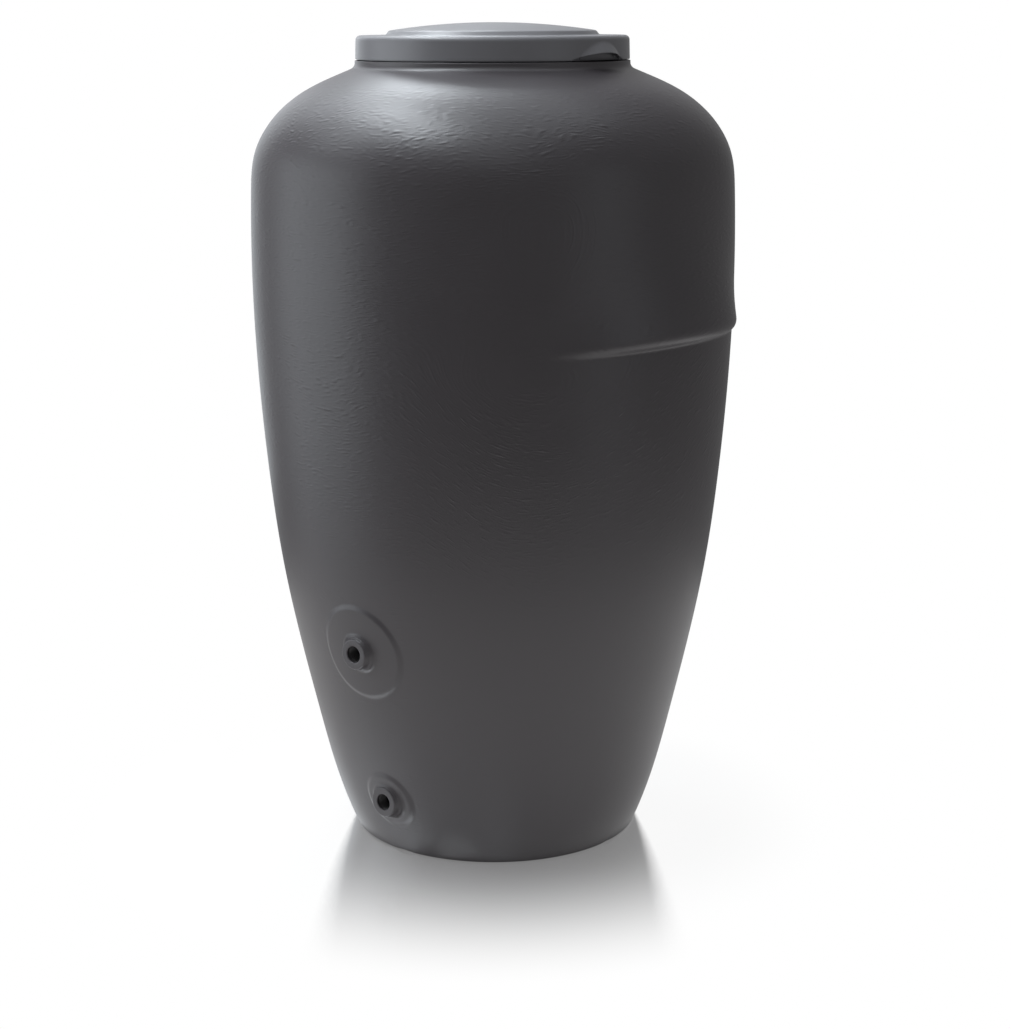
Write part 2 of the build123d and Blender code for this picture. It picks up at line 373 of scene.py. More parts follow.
class Moulding:
    """Vertices and faces of one closed piece, gathered ring by ring."""

    def __init__(self):
        self.places = []
        self.faces = []
        self.grain = []
        self.count = 0

    def round(self, r, angles, z, grain=0.0):
        """A ring round the barrel's axis."""
        return self.ring(r * np.cos(angles), r * np.sin(angles), z, grain)

    def ring(self, x, y, z, grain=0.0):
        x, y, z, grain = np.broadcast_arrays(x, y, z, grain)
        self.places.append(np.stack([x, y, z], axis=1))
        self.grain.append(grain)
        self.count += len(x)
        return np.arange(self.count - len(x), self.count)

    def bridge(self, first, second, skip=()):
        """Quads between two rings of the same number of points, but for the columns in skip."""
        nxt = np.roll(first, -1), np.roll(second, -1)
        for i, (a, b, c, d) in enumerate(zip(first, nxt[0], nxt[1], second)):
            if i not in skip:
                self.faces.append((int(a), int(b), int(c), int(d)))

    def close(self, ring, height, outward_first):
        """Fan from a ring to a point on the axis."""
        tip = self.ring(np.zeros(1), 0.0, height)[0]
        nxt = np.roll(ring, -1)
        for a, b in zip(ring, nxt):
            face = (int(tip), int(b), int(a)) if outward_first else (int(a), int(b), int(tip))
            self.faces.append(face)

    def make(self, name, settings_slot, body, *nodes):
        """The finished object, which stands for the CAD nodes and rides with their body."""
        places = np.vstack(self.places)
        grain = np.concatenate(self.grain)
        used = np.zeros(len(places), bool)
        used[np.unique(np.concatenate([np.array(f) for f in self.faces]))] = True
        new_index = np.cumsum(used) - 1
        faces = [tuple(int(new_index[v]) for v in f) for f in self.faces]
        mesh = bpy.data.meshes.new(name)
        mesh.from_pydata(places[used].tolist(), [], faces)
        layer = mesh.attributes.new("grain", "FLOAT", "POINT")
        layer.data.foreach_set("value", grain[used].astype(np.float32))
        mesh.polygons.foreach_set("use_smooth", np.ones(len(faces), bool))
        mesh.update()
        piece = bpy.data.objects.new(name, mesh)
        bpy.context.scene.collection.objects.link(piece)
        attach(piece, body)
        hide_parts(*nodes)
        return piece


def chain(moulding, rings):
    for first, second in zip(rings, rings[1:]):
        moulding.bridge(first, second)


def lathe(moulding, outline, angles):
    """Rings for a closed outline of (radius, height), joined round and back to the first."""
    rings = [moulding.round(r, angles, z) for r, z in outline]
    chain(moulding, rings + rings[:1])


# ---------------------------------------------------------------- vessel


class VesselShape:
    """Radius of the vessel's outside, or of its inside, at any angle and height."""

    def __init__(self, settings):
        self.settings = settings
        self.side = smooth_curve(SIDE, SIDE_FIRST_WAY, SIDE_LAST_WAY, 60)
        way = np.gradient(self.side, axis=0)
        way /= np.linalg.norm(way, axis=1)[:, None]
        self.inner_side = self.side + np.stack([-way[:, 1], way[:, 0]], axis=1) * settings.wall
        wall_r = self.wall(LEDGE_Z)
        self.ledge = Leaning(wall_r, settings.ledge_out, settings.ledge_ramp, LEDGE_HALF_SPAN, LEDGE_Z)

    def wall(self, z, inner=False):
        side = self.inner_side if inner else self.side
        return np.interp(z, side[:, 1], side[:, 0])

    def radius(self, angle, z, inner=False):
        """Wall and ledges together."""
        skin = self.settings.wall if inner else 0.0
        rounding = self.settings.ledge_round
        under = LEDGE_UNDER - self.ledge.lean
        side_angle = fold(angle)

        def depth(r):
            within, over = self.ledge.inside(r, side_angle, z, skin)
            under_depth = over * math.cos(under) + within * math.sin(under)
            return -soft_max(-within, -under_depth, rounding)

        reach = np.where(z < LEDGE_END, self.ledge.reach_at(depth, side_angle, z), 0)
        return soft_max(self.wall(z, inner), reach, 0.006)

    def height(self, angle, level):
        """Height of a ring at an angle: rings near a ledge bend down to run along its lip."""
        lip_angle, lip_z = self.ledge.lip()
        off = np.abs(fold(angle))
        drop = np.interp(off, lip_angle, lip_z - LEDGE_Z) * (1 - smooth_step(*RINGS_TURN_LEVEL, off))
        share = smooth_step(*RINGS_START_BENDING, level) * (1 - smooth_step(*RINGS_STOP_BENDING, level))
        return level + drop * share

    def levels(self, spacing):
        """Heights of the rings up the side, spaced along the curve by spacing(height)."""
        run = np.concatenate([[0], np.cumsum(np.linalg.norm(np.diff(self.side, axis=0), axis=1))])
        place, found = 0.0, []
        while place < run[-1] - 0.002:
            z = float(np.interp(place, run, self.side[:, 1]))
            found.append(z)
            place += spacing(z)
        return np.array(found[1:])


def outer_spacing(z):
    if any(abs(z - tap["z"]) < tap["block"] for tap in TAPS.values()):
        return 0.005
    if 0.742 < z < 0.800:
        return 0.0020
    if 0.700 < z < 0.900:
        return 0.007
    return 0.0055 if z > 0.98 else 0.0125


def inner_spacing(z):
    if any(abs(z - tap["z"]) < tap["block"] for tap in TAPS.values()):
        return 0.005
    return 0.008 if 0.735 < z < 0.800 else 0.032


def round_tap(tap, r, turns):
    """x and z on a circle round a tap's axis."""
    return r * np.cos(turns), tap["z"] + r * np.sin(turns)


def sleeve_end(tap, wall):
    """Depth behind the boss's face at which the sleeve ends inside the barrel."""
    return tap["stand"] + wall + SLEEVE_OUT


def bush_outline(end, gap):
    """(radius, depth behind the face) along the bush's outside with its two grip rings, drawn in by gap."""
    places = [(BUSH_R - gap, BUSH_SET_BACK + gap)]
    for share in BUSH_GRIPS:
        middle = end - share * (end - BUSH_SET_BACK)
        for r, off in ((BUSH_R, -1), (BUSH_GRIP_R, -1), (BUSH_GRIP_R, 1), (BUSH_R, 1)):
            places.append((r - gap, middle + off * (BUSH_GRIP / 2 - gap)))
    return [*places, (BUSH_R - gap, end)]


class Outlet:
    """One tap outlet: the round pad and the boss on the vessel's front, and the hole through them."""

    def __init__(self, tap, shape, vessel_settings, settings):
        self.tap = tap
        self.shape = shape
        self.vessel = vessel_settings
        self.settings = settings
        self.face_y = -(float(shape.wall(tap["z"])) + tap["stand"])

    def wall_y(self, x, z, inner):
        return -np.sqrt(self.shape.wall(z, inner) ** 2 - x**2)

    def outside_rings(self):
        """(radius, rise over the wall, share of the way to the boss's face, depth behind it)."""
        s, pad_r = self.settings, self.tap["pad_r"]
        step = self.vessel.pad_step
        rings = []
        for off in np.linspace(PAD_EDGE, -PAD_EDGE, 9):
            rings.append((pad_r + float(off), step * float(smooth_step(0.0048, -0.0048, off)), 0, 0))
        root = s.boss_root_r
        for r in np.linspace(pad_r - 0.0068, root + BOSS_FILLET + 0.0006, 7 if pad_r > 0.05 else 2):
            rings.append((float(r), step, 0, 0))
        for turn in np.linspace(0, 1.25, 6):
            rings.append((root + BOSS_FILLET * (1 - math.sin(turn)), step, 0.50 * (1 - math.cos(turn)), 0))
        face_r, edge = s.boss_r, s.edge_round
        for share in (0.42, 0.50, 0.68):
            rings.append((root * (1 - share) + face_r * share, step, share, 0))
        for turn in np.linspace(0.1, math.pi / 2, 7):
            rings.append((face_r - edge * (1 - math.cos(turn)), step, 1, edge * (1 - math.sin(turn))))
        for r in (face_r - 0.004, BORE_R + 0.0022):
            rings.append((r, step, 1, 0))
        for turn in np.linspace(0, math.pi / 2, 4):
            r = BORE_R + BORE_EDGE * (1 - math.sin(turn))
            rings.append((r, step, 1, BORE_EDGE * (1 - math.cos(turn))))
        return rings

    def seat(self):
        """(radius, depth behind the face) down the seat of the bush."""
        end = sleeve_end(self.tap, self.vessel.wall)
        start = (BORE_R, BUSH_SET_BACK)
        return [start, *bush_outline(end, 0.0), (SLEEVE_R - 0.001, end), (SLEEVE_R, end - 0.001)]

    def fill(self, moulding, loop_x, loop_z, outer_loop, inner_loop):
        """Fills the gap left in the vessel's two skins and joins them round the hole."""
        loop = np.unwrap(np.arctan2(loop_z - self.tap["z"], loop_x))
        far = np.hypot(loop_x, loop_z - self.tap["z"])
        # the loop is square and its points uneven, the rings inside it are even
        places = np.arange(len(loop)) - (len(loop) - 1) / 2
        turn = loop.mean() + places * 2 * math.pi / len(loop)
        rings = [outer_loop]
        first_r = self.tap["pad_r"] + PAD_EDGE
        for share in (0.33, 0.66):
            r = far * (1 - share) + first_r * share
            rings.append(self.surface_ring(moulding, r, loop + (turn - loop) * share, 0, False, 1 - share))
        for r, rise, share, depth in self.outside_rings():
            x, z = round_tap(self.tap, r, turn)
            on_pad = self.wall_y(x, z, False) - rise
            y = on_pad * (1 - share) + (self.face_y + depth) * share
            rings.append(moulding.ring(x, y, z, GRAIN_LOW))
        for r, depth in self.seat():
            x, z = round_tap(self.tap, r, turn)
            rings.append(moulding.ring(x, self.face_y + depth, z))
        for r in (SLEEVE_R + 0.0003, SLEEVE_R + 0.004):
            rings.append(self.surface_ring(moulding, r, turn, 0, True, 0))
        for share in (0.35, 0.7):
            r = far * share + (SLEEVE_R + 0.004) * (1 - share)
            rings.append(self.surface_ring(moulding, r, turn + (loop - turn) * share, 0, True, 0))
        rings.append(inner_loop)
        chain(moulding, rings)

    def surface_ring(self, moulding, r, turn, rise, inner, grain):
        x, z = round_tap(self.tap, r, turn)
        return moulding.ring(x, self.wall_y(x, z, inner) - rise, z, grain)


def foot_outline():
    """Rings under the base, out over the contact ring and round the outer corner."""
    rise_top = FOOT_INNER_R - BASE_SLANT
    rings = [(0.04, BASE_RISE), (0.09, BASE_RISE), (0.135, BASE_RISE)]
    corner = (rise_top, BASE_RISE)
    rings += bend((rise_top - 0.005, BASE_RISE), corner, (rise_top + 0.003, BASE_RISE - 0.0035), 4)
    rings += bend((FOOT_INNER_R - 0.003, 0.0035), (FOOT_INNER_R, 0), (FOOT_INNER_R + 0.004, 0), 4)
    rings += line(rings[-1], (FOOT_R, 0), 5)
    return rings + bend((FOOT_R, 0), (0.2146, 0), SIDE[0], 5)[1:]


def neck_outline():
    """(radius, height, radius at a lug) from the end of the shoulder to the rim and down into the vessel."""
    corner = (COLLAR_R, SIDE[-1][1] + (SIDE[-1][0] - COLLAR_R) * 0.42)
    rings = bend(SIDE[-1], corner, (COLLAR_R, COLLAR_FOOT), 8)
    rings += bend((COLLAR_R, COLLAR_TOP - 0.001), (COLLAR_R, COLLAR_TOP), (COLLAR_R - 0.001, COLLAR_TOP), 3)
    rings += [(0.190, COLLAR_TOP)]
    rings += bend((NECK_R + 0.002, COLLAR_TOP), (NECK_R, COLLAR_TOP), (NECK_R, COLLAR_TOP + 0.002), 4)
    rings = [(r, z, r) for r, z in rings]
    rings += [
        (NECK_R, NECK_LUG_LOW - 0.0002, NECK_R),
        (NECK_R, NECK_LUG_LOW, NECK_LUG_R - 0.0008),
        (NECK_R, NECK_LUG_LOW + 0.0008, NECK_LUG_R),
        (NECK_R, NECK_LUG_HIGH - 0.0008, NECK_LUG_R),
        (NECK_R, NECK_LUG_HIGH, NECK_LUG_R - 0.0008),
        (NECK_R, NECK_LUG_HIGH + 0.0002, NECK_R),
    ]
    rim = bend((NECK_R, NECK_TOP - 0.002), (NECK_R, NECK_TOP), (NECK_R - 0.002, NECK_TOP), 4)
    rim += bend((MOUTH_R + 0.0012, NECK_TOP), (MOUTH_R, NECK_TOP), (MOUTH_R, NECK_TOP - 0.0012), 3)
    return rings + [(r, z, r) for r, z in rim]


def inner_neck_outline(wall):
    """Down the inside of the neck to where the inside of the shoulder begins."""
    under_rim = NECK_TOP - wall
    inner_r = NECK_R - wall
    step = COLLAR_TOP - wall
    return [
        (MOUTH_R, under_rim),
        (inner_r - 0.001, under_rim),
        (inner_r, under_rim - 0.001),
        (inner_r, step + 0.001),
        (inner_r + 0.001, step),
        (COLLAR_R - wall - 0.001, step),
        (COLLAR_R - wall, step - 0.001),
        (COLLAR_R - wall, step - 0.004),
    ]


def grain_at(level, angle):
    """How strong the mould's leather grain is: full on the shoulder, faint low down and gone at the neck."""
    rise = GRAIN_LOW + (1 - GRAIN_LOW) * smooth_step(*GRAIN_RISES, level)
    return rise * (1 - smooth_step(*GRAIN_ENDS, level)) * np.ones_like(angle)


def side_rings(moulding, shape, levels, angles, inner):
    rings = []
    for level in levels:
        z = shape.height(angles, level)
        r = shape.radius(angles, z, inner)
        grain = 0.0 if inner else grain_at(z, angles)
        rings.append(moulding.round(r, angles, z, grain))
    return rings


def tap_block(tap, levels, angles, shape):
    """First and last ring, and first and last column, of the block of cells that a tap's patch fills."""
    rows = np.flatnonzero(np.abs(levels - tap["z"]) < tap["block"])
    front = np.abs(np.sin((angles + math.pi / 2) / 2)) * 2 * shape.wall(tap["z"])
    columns = np.flatnonzero(front < tap["block"])
    return rows[0], rows[-1], columns[0], columns[-1]


def round_block(rings, block):
    """Vertices round a block, anticlockwise from outside."""
    low, high, first, last = block
    loop = [rings[low][j] for j in range(first, last)]
    loop += [rings[i][last] for i in range(low, high)]
    loop += [rings[high][j] for j in range(last, first, -1)]
    return np.array(loop + [rings[i][first] for i in range(high, low, -1)])


def vessel_columns():
    """Angles of the vessel's columns, starting behind so that the taps lie in the middle."""
    return math.pi / 2 + np.arange(VESSEL_COLUMNS) * 2 * math.pi / VESSEL_COLUMNS


def build_vessel(settings, outlet_settings):
    shape = VesselShape(settings)
    moulding = Moulding()
    angles = vessel_columns()
    # the front at -90 degrees is the same direction as 270 degrees
    front = angles - 2 * math.pi
    foot = []
    relief_side = np.minimum(np.abs(np.cos(angles)), np.abs(np.sin(angles)))
    for r, z in foot_outline():
        across = np.minimum(r * relief_side, RELIEF_R)
        lift = RELIEF_DEPTH - RELIEF_R + np.sqrt(RELIEF_R**2 - across**2)
        height = soft_max(np.full(VESSEL_COLUMNS, z), lift, 0.0003) if z < RELIEF_DEPTH else z
        foot.append(moulding.round(r, angles, height))
    outer_levels = shape.levels(outer_spacing)
    outer = side_rings(moulding, shape, outer_levels, angles, False)
    lug = in_sectors(angles, 0.0, LUG_SPAN, 0.012)
    neck = []
    for r, z, lug_r in neck_outline():
        neck.append(moulding.round(r + (lug_r - r) * lug, angles, z))
    for r, z in inner_neck_outline(settings.wall):
        neck.append(moulding.round(r, angles, z))
    inner_levels = shape.levels(inner_spacing)
    blocks = [tap_block(tap, outer_levels, front, shape) for tap in TAPS.values()]
    inner_levels = share_levels(inner_levels, outer_levels, blocks, settings.wall)
    inner = side_rings(moulding, shape, inner_levels[::-1], angles, True)[::-1]
    inner_blocks = []
    for block in blocks:
        low = int(np.argmin(np.abs(inner_levels - outer_levels[block[0]])))
        inner_blocks.append((low, low + block[1] - block[0], block[2], block[3]))

    moulding.close(foot[0], BASE_RISE, True)
    chain(moulding, foot + outer[:1])
    skin(moulding, outer, blocks, False)
    chain(moulding, outer[-1:] + neck + inner[-1:])
    skin(moulding, inner, inner_blocks, True)
    floor_z = BASE_RISE + settings.wall
    floor = []
    for r, z in bend((float(shape.wall(0.03, True)), 0.03), (0.197, floor_z), (0.185, floor_z), 4)[1:]:
        floor.append(moulding.round(r, angles, z))
    for r in (0.14, 0.09, 0.04):
        floor.append(moulding.round(r, angles, floor_z))
    chain(moulding, inner[:1] + floor)
    moulding.close(floor[-1], floor_z, False)

    places = np.vstack(moulding.places)
    for tap, block, inner_block in zip(TAPS.values(), blocks, inner_blocks):
        outer_loop = round_block(outer, block)
        inner_loop = round_block(inner, inner_block)
        outlet = Outlet(tap, shape, settings, outlet_settings)
        outlet.fill(moulding, places[outer_loop, 0], places[outer_loop, 2], outer_loop, inner_loop)
    return moulding


def share_levels(inner_levels, outer_levels, blocks, wall):
    """The inside's levels, with the outside's own across each tap so that the two skins can be joined."""
    kept = inner_levels[inner_levels > BASE_RISE + wall + 0.012]
    for low, high, *_ in blocks:
        bottom, top = outer_levels[low], outer_levels[high]
        kept = kept[(kept < bottom - 0.003) | (kept > top + 0.003)]
        kept = np.concatenate([kept, outer_levels[low : high + 1]])
    return np.sort(kept)


def skin(moulding, rings, blocks, inner):
    """Cells between neighbouring rings, but for the blocks of the taps."""
    for i, (first, second) in enumerate(zip(rings, rings[1:])):
        skip = set()
        for low, high, left, right in blocks:
            if low <= i < high:
                skip.update(range(left, right))
        if inner:
            first, second = second, first
        moulding.bridge(first, second, skip)


# ---------------------------------------------------------------- bushes and seal


def bush_moulding(tap, shape, settings):
    """Bush with two grip rings outside and a pipe thread inside, standing in its seat."""
    moulding = Moulding()
    face = -(float(shape.wall(tap["z"])) + tap["stand"])
    end = sleeve_end(tap, settings.wall)
    turns = np.linspace(0, 2 * math.pi, 72, endpoint=False)
    steps = int((end - BUSH_SET_BACK) / THREAD_PITCH * 7)
    gap = 0.0001
    rings = []
    for depth in np.linspace(BUSH_SET_BACK + gap, end, steps):
        phase = (depth / THREAD_PITCH - turns / (2 * math.pi)) % 1
        crest = np.abs(phase * 2 - 1)
        cut = smooth_step(0.12, 0.88, crest) * THREAD_DEPTH
        run_in = smooth_step(0, THREAD_PITCH * 0.8, np.minimum(depth - BUSH_SET_BACK, end - depth))
        # the first thread is chamfered off at both ends
        r = BORE_R + cut * run_in + THREAD_DEPTH * (1 - run_in)
        rings.append((r, depth))
    rings += bush_outline(end, gap)[::-1]
    made = []
    for r, depth in rings:
        x, z = round_tap(tap, r, turns)
        made.append(moulding.ring(x, face + depth, z))
    chain(moulding, made + made[:1])
    return moulding


def seal_moulding():
    """Flat ring with rounded corners that closes the gap between rim and lid."""
    moulding = Moulding()
    low, high = SEAL_LOW.z, SEAL_HIGH.z
    outer_r = SEAL_HIGH.x
    inner_r = outer_r - 0.008
    soft = 0.0010
    outline = []
    corners = ((inner_r, low, 1, 1), (outer_r, low, -1, 1), (outer_r, high, -1, -1), (inner_r, high, 1, -1))
    for i, (r, z, way_r, way_z) in enumerate(corners):
        down = (r, z + way_z * soft)
        along = (r + way_r * soft, z)
        outline += bend(*((down, (r, z), along) if i % 2 == 0 else (along, (r, z), down)), 4)
    # a shallow groove along the middle of each face keeps the lid from sticking
    middle = (inner_r + outer_r) / 2
    outline.insert(4, (middle, low + 0.0003))
    outline.insert(13, (middle, high - 0.0003))
    lathe(moulding, outline, np.linspace(0, 2 * math.pi, 288, endpoint=False))
    return moulding


# ---------------------------------------------------------------- lid


def lid_columns():
    """Angles of the lid's columns, closer together at the two finger hoods."""
    found, angle = [], 0.0
    while angle < math.pi - LID_FINE / 2:
        found.append(angle)
        off = abs(float(fold(angle)))
        angle += LID_FINE if off < math.radians(21) else LID_COARSE
    found = np.array(found) * math.pi / angle
    return np.concatenate([found, found + math.pi])


class LidShape:
    def __init__(self, settings):
        self.settings = settings
        self.hood = Leaning(SKIRT_R, settings.hood_out, settings.hood_rise, HOOD_HALF_SPAN, LID_BOTTOM)
        self.skirt_top = FLANGE_TOP - settings.edge_round
        rise = LID_APEX - DISC_TOP
        self.crown_r = (DISC_TOP_R**2 + rise**2) / (2 * rise)

    def skirt(self, z):
        share = (z - LID_BOTTOM) / (self.skirt_top - LID_BOTTOM)
        return SKIRT_R + (SKIRT_TOP_R - SKIRT_R) * share

    def crown(self, r):
        return LID_APEX - self.crown_r + np.sqrt(self.crown_r**2 - np.square(r))

    def hood_reach(self, angle, z, skin):
        side_angle = fold(angle)
        return self.hood.reach_at(lambda r: self.hood.inside(r, side_angle, z, skin)[0], side_angle, z)

    def outer(self, angle, z):
        top = smooth_step(self.skirt_top, self.skirt_top - 0.003, z)
        reach = self.hood_reach(angle, z, 0.0)
        skirt = self.skirt(z)
        return skirt + (soft_max(skirt, reach, 0.0012) - skirt) * top

    def edge(self, angle):
        """Height of the skirt's lower edge, arched under a hood."""
        end_y = SKIRT_R * math.sin(HOOD_HALF_SPAN)
        arch = self.settings.hood_arch
        arch_r = (end_y**2 + arch**2) / (2 * arch)
        y = np.minimum(np.abs(SKIRT_R * np.sin(fold(angle))), arch_r)
        rise = arch - arch_r + np.sqrt(arch_r**2 - y**2)
        return LID_BOTTOM + np.maximum(rise, 0)


def under_lid(shape):
    """(radius, height) from the middle of the lid's underside out to the inside of the skirt."""
    wall = shape.settings.wall
    ceiling = FLANGE_TOP - wall
    rings = [(r, float(shape.crown(r)) - wall) for r in (0.02, 0.06, 0.10, 0.13, 0.142)]
    rings += [(DISC_TOP_R - wall - 0.0005, DISC_TOP - wall), (DISC_FOOT_R - wall, ceiling + 0.001)]
    rings += [(DISC_FOOT_R - wall + 0.001, ceiling), (0.158, ceiling)]
    inner = LOCATING_R - LOCATING_WALL
    rings += [(inner - 0.001, ceiling), (inner, ceiling - 0.001), (inner, LOCATING_LOW + 0.0006)]
    rings += [(inner + 0.0006, LOCATING_LOW), (LOCATING_R - 0.0006, LOCATING_LOW)]
    rings += [(LOCATING_R, LOCATING_LOW + 0.0006), (LOCATING_R, ceiling - 0.0004)]
    rings += [(LOCATING_R + 0.0004, ceiling)]
    return rings + [(0.178, ceiling), (0.185, ceiling)]


def over_lid(shape):
    """(radius, height) from the top of the skirt over the flange, the step and the crown."""
    soft = shape.settings.edge_round
    turns = np.linspace(0, math.pi / 2, 10)[1:]
    centre_r = SKIRT_TOP_R - soft
    rings = [(centre_r + soft * math.cos(t), FLANGE_TOP - soft + soft * math.sin(t)) for t in turns]
    rings += line(rings[-1], (DISC_FOOT_R + 0.003, FLANGE_TOP), 6)
    wall_way = (DISC_FOOT_R - DISC_TOP_R) / (DISC_TOP - FLANGE_TOP)
    foot_end = (DISC_FOOT_R - 0.0022 * wall_way, FLANGE_TOP + 0.0022)
    rings += bend(rings[-1], (DISC_FOOT_R, FLANGE_TOP), foot_end, 5)[1:]
    top_start = (DISC_TOP_R + 0.0016 * wall_way, DISC_TOP - 0.0016)
    inner_r = DISC_TOP_R - 0.0030
    rings += bend(top_start, (DISC_TOP_R, DISC_TOP), (inner_r, float(shape.crown(inner_r))), 6)
    for r in (0.142, 0.135, 0.125, 0.112, 0.098, 0.082, 0.066, 0.050, 0.034, 0.018):
        rings.append((r, float(shape.crown(r))))
    return rings


def build_lid(settings):
    shape = LidShape(settings)
    moulding = Moulding()
    angles = lid_columns()

    def add(r, z):
        return moulding.round(r, angles, z)

    rings = [add(r, z) for r, z in under_lid(shape)]
    pocket = np.abs(SKIRT_R * np.sin(fold(angles))) < POCKET_HALF_WIDTH
    inside = SKIRT_R - settings.wall
    back_r = HOOD_RECESS_R - HOOD_WALL
    ceiling = FLANGE_TOP - settings.wall
    pocket_top = LID_BOTTOM + POCKET_RISE
    behind = np.where(pocket, back_r, inside)
    lug = in_sectors(angles, math.pi / 4, LUG_SPAN, 0.012)
    rings.append(add(np.where(pocket, back_r + 0.0005, inside - 0.0015), ceiling))
    rings.append(add(behind, ceiling - 0.0015))
    rings.append(add(behind, pocket_top - 0.004))
    for z, share in (
        (LID_LUG_HIGH + 0.0002, 0.0),
        (LID_LUG_HIGH - 0.0003, 1.0),
        (LID_LUG_LOW + 0.0003, 1.0),
        (LID_LUG_LOW - 0.0002, 0.0),
    ):
        rings.append(add(behind + (LID_LUG_R - behind) * lug * share, z))
    edge = shape.edge(angles)
    soft = 0.0006
    rings.append(add(behind, LID_BOTTOM + soft))
    # across the lower edge, or under a hood down the back wall, up into the pocket and down inside the hood
    path_r = inside + soft + (settings.wall - 2 * soft) * np.linspace(0, 1, 12)
    tip_z = edge + soft
    lining = [pocket_top - 0.0015, (pocket_top * 2 + tip_z) / 3, (pocket_top + tip_z * 2) / 3, tip_z]
    lined = [shape.hood_reach(angles, z, HOOD_WALL) for z in lining]
    hood_r = [back_r + soft, HOOD_RECESS_R - soft, *[HOOD_RECESS_R] * 3, HOOD_RECESS_R + 0.001]
    hood_z = [LID_BOTTOM, LID_BOTTOM, LID_BOTTOM + soft, LID_BOTTOM + 0.012, pocket_top - 0.001, pocket_top]
    hood_r += [lined[0] - 0.001, *lined]
    hood_z += [pocket_top, *lining]
    hood_r.append(shape.hood_reach(angles, edge, HOOD_WALL) + soft)
    hood_z.append(edge)
    for place in range(12):
        r = np.where(pocket, hood_r[place], path_r[place])
        z = np.where(pocket, hood_z[place], edge if place > 6 else LID_BOTTOM)
        rings.append(add(r, z))
    outer_edge = shape.outer(angles, edge)
    rings.append(add(outer_edge - soft, edge))
    for share in (0.0, *np.linspace(0.06, 1, 22)):
        z = edge + soft + (shape.skirt_top - edge - soft) * share
        rings.append(add(shape.outer(angles, z), z))
    rings += [add(r, z) for r, z in over_lid(shape)]
    moulding.close(rings[0], LID_APEX - settings.wall, True)
    chain(moulding, rings)
    moulding.close(rings[-1], LID_APEX, False)
    return moulding


# ---------------------------------------------------------------- materials


class Nodes:
    """One material, or the world, as a small tree of nodes."""

    def __init__(self, owner):
        owner.use_nodes = True
        self.tree = owner.node_tree
        self.tree.nodes.clear()

    def add(self, kind, links=None, values=None, **properties):
        """Adds a node with links into its inputs, plain values of inputs, and properties.

        A link comes from a socket, or from a node, which means its first output."""
        node = self.tree.nodes.new("ShaderNode" + kind)
        for name, value in properties.items():
            setattr(node, name, value)
        for socket, value in (values or {}).items():
            node.inputs[socket].default_value = value
        for socket, source in (links or {}).items():
            output = source.outputs[0] if isinstance(source, bpy.types.Node) else source
            self.tree.links.new(output, node.inputs[socket])
        return node


# sockets of a Mix node for plain values and for colours
MIX_VALUE_A, MIX_VALUE_B = 2, 3
MIX_COLOUR_A, MIX_COLOUR_B, MIX_COLOUR_OUT = 6, 7, 2
SMOOTH = {"interpolation_type": "SMOOTHSTEP"}
HALF = (0.5, 0.5, 0.5)
WHITE = (1, 1, 1, 1)


def new_material(name):
    material = bpy.data.materials.new(name)
    return material, Nodes(material)


def give(piece, material):
    piece.data.materials.clear()
    piece.data.materials.append(material)


def shade(colour, factor):
    return [*(c * factor for c in colour), 1.0]


def creases_along(n, moved, across):
    """Ridged noise drawn out level, in creases stacked up along across."""
    joined = n.add("CombineXYZ", {"X": moved.outputs["X"], "Y": moved.outputs["Y"], "Z": across})
    per_length = 1 / CREASE_LENGTH
    scale = (per_length, per_length, 1 / CREASE_GAP)
    longways = n.add("Mapping", {"Vector": joined}, {"Scale": scale})
    made = n.add(
        "TexNoise",
        {"Vector": longways},
        {"Scale": 1.0, "Detail": 3.0, "Roughness": 0.55},
        noise_type="RIDGED_MULTIFRACTAL",
    )
    return made.outputs["Fac"]


def leather_grain(n, place, warped):
    """Height of the creases: they run level, climb below the ledge at +X, and ring a spot on the side."""
    parts = n.add("SeparateXYZ", {0: place})
    moved = n.add("SeparateXYZ", {0: warped})
    side = n.add("MapRange", {"Value": parts.outputs["X"]}, {"From Min": 0.10, "From Max": 0.28}, **SMOOTH)
    low = n.add(
        "MapRange",
        {"Value": parts.outputs["Z"]},
        {"From Min": LEDGE_Z + 0.04, "From Max": LEDGE_Z - 0.06},
        **SMOOTH,
    )
    climb = n.add("Math", {0: side, 1: low}, operation="MULTIPLY")
    slope = n.add("Math", {0: climb, 1: parts.outputs["Y"]}, operation="MULTIPLY")
    tilted = n.add("Math", {0: slope, 2: moved.outputs["Z"]}, {1: -CREASE_CLIMB}, operation="MULTIPLY_ADD")
    spot = (RING_SPOT_R * math.sin(RING_SPOT_TURN), -RING_SPOT_R * math.cos(RING_SPOT_TURN), RING_SPOT_Z)
    off = n.add("VectorMath", {0: warped}, {1: spot}, operation="DISTANCE")
    near = n.add(
        "MapRange", {"Value": off.outputs["Value"]}, {"From Min": 0.095, "From Max": 0.055}, **SMOOTH
    )
    both = n.add(
        "Mix",
        {
            "Factor": near,
            MIX_VALUE_A: creases_along(n, moved, tilted),
            MIX_VALUE_B: creases_along(n, moved, off.outputs["Value"]),
        },
        data_type="FLOAT",
    )
    return both


